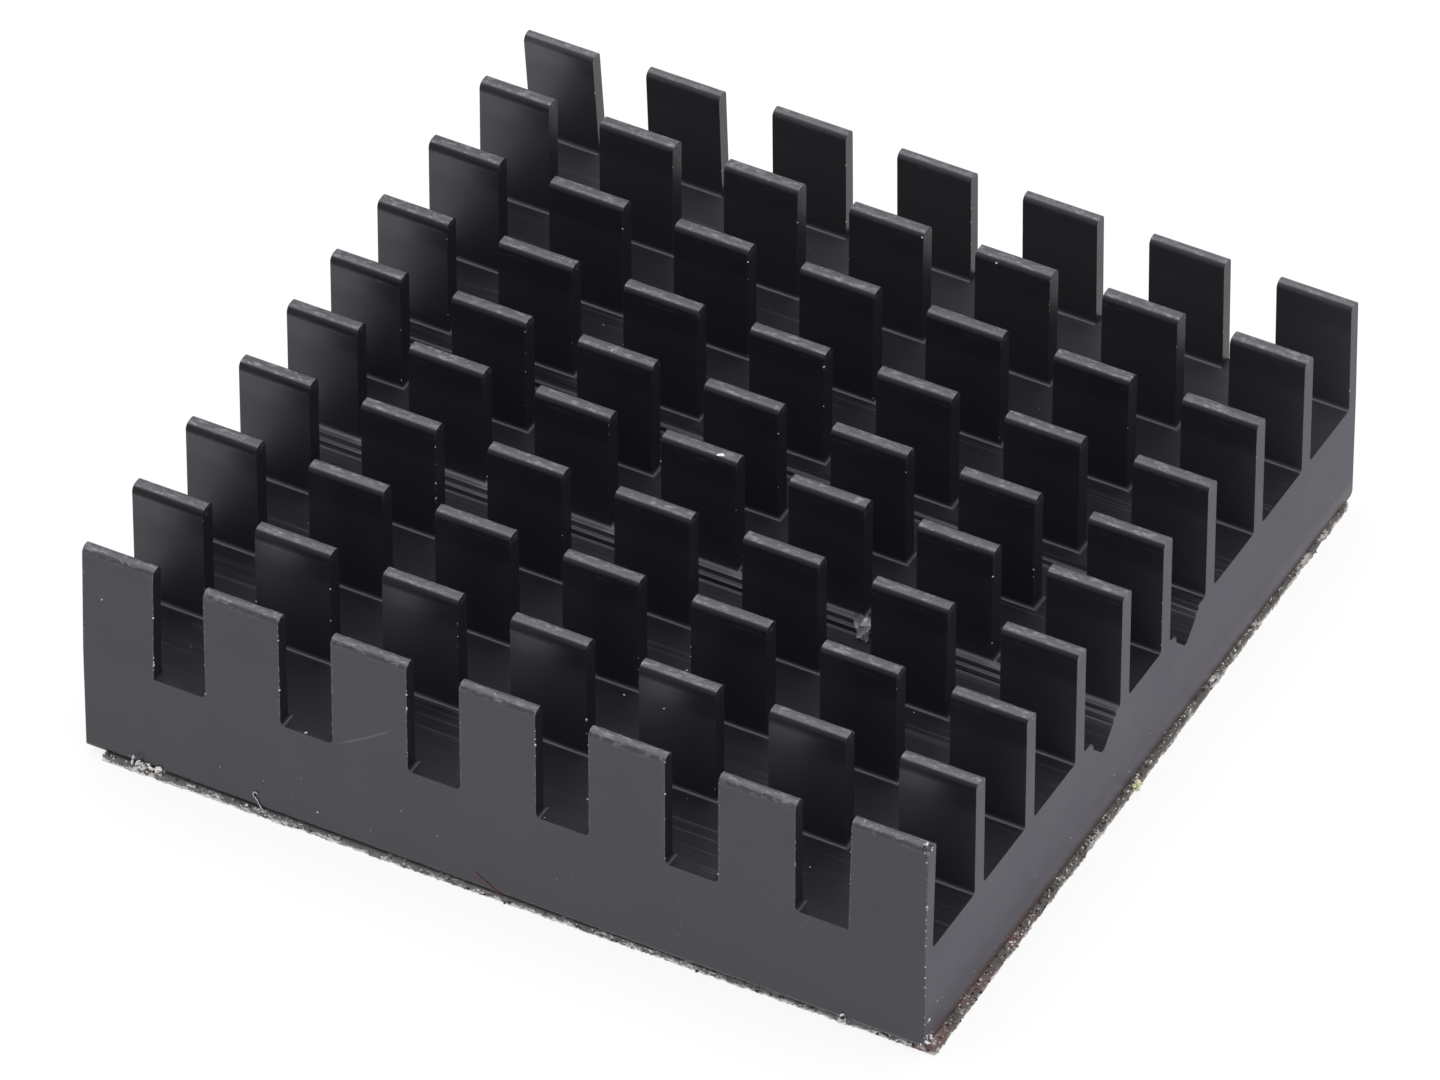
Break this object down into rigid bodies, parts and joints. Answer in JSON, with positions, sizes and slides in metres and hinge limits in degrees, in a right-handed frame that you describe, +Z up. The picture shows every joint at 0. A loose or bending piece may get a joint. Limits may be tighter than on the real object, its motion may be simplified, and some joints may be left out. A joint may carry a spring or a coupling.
{
  "type": "pin fin heat sink",
  "caption": "Square black heat sink cut from an aluminium extrusion, with rows of flat pins, two V grooves and a thermal tape sheet under its base.",
  "frame": {"origin": "under the middle of the aluminium base, on the underside of the tape", "axes": "+X along the extrusion, +Y across the fins towards the one whose pins all lean, +Z up towards the pin tips"},
  "size_m": [0.0404, 0.0402, 0.0115],
  "materials": {
    "anodised_aluminium": "black anodised, satin, with fine extrusion lines",
    "adhesive_tape": "matte grey filled adhesive with cut edges"
  },
  "bodies": {
    "root": {"heat_sink": "anodised_aluminium", "thermal_tape": "adhesive_tape"}
  },
  "joints": []
}
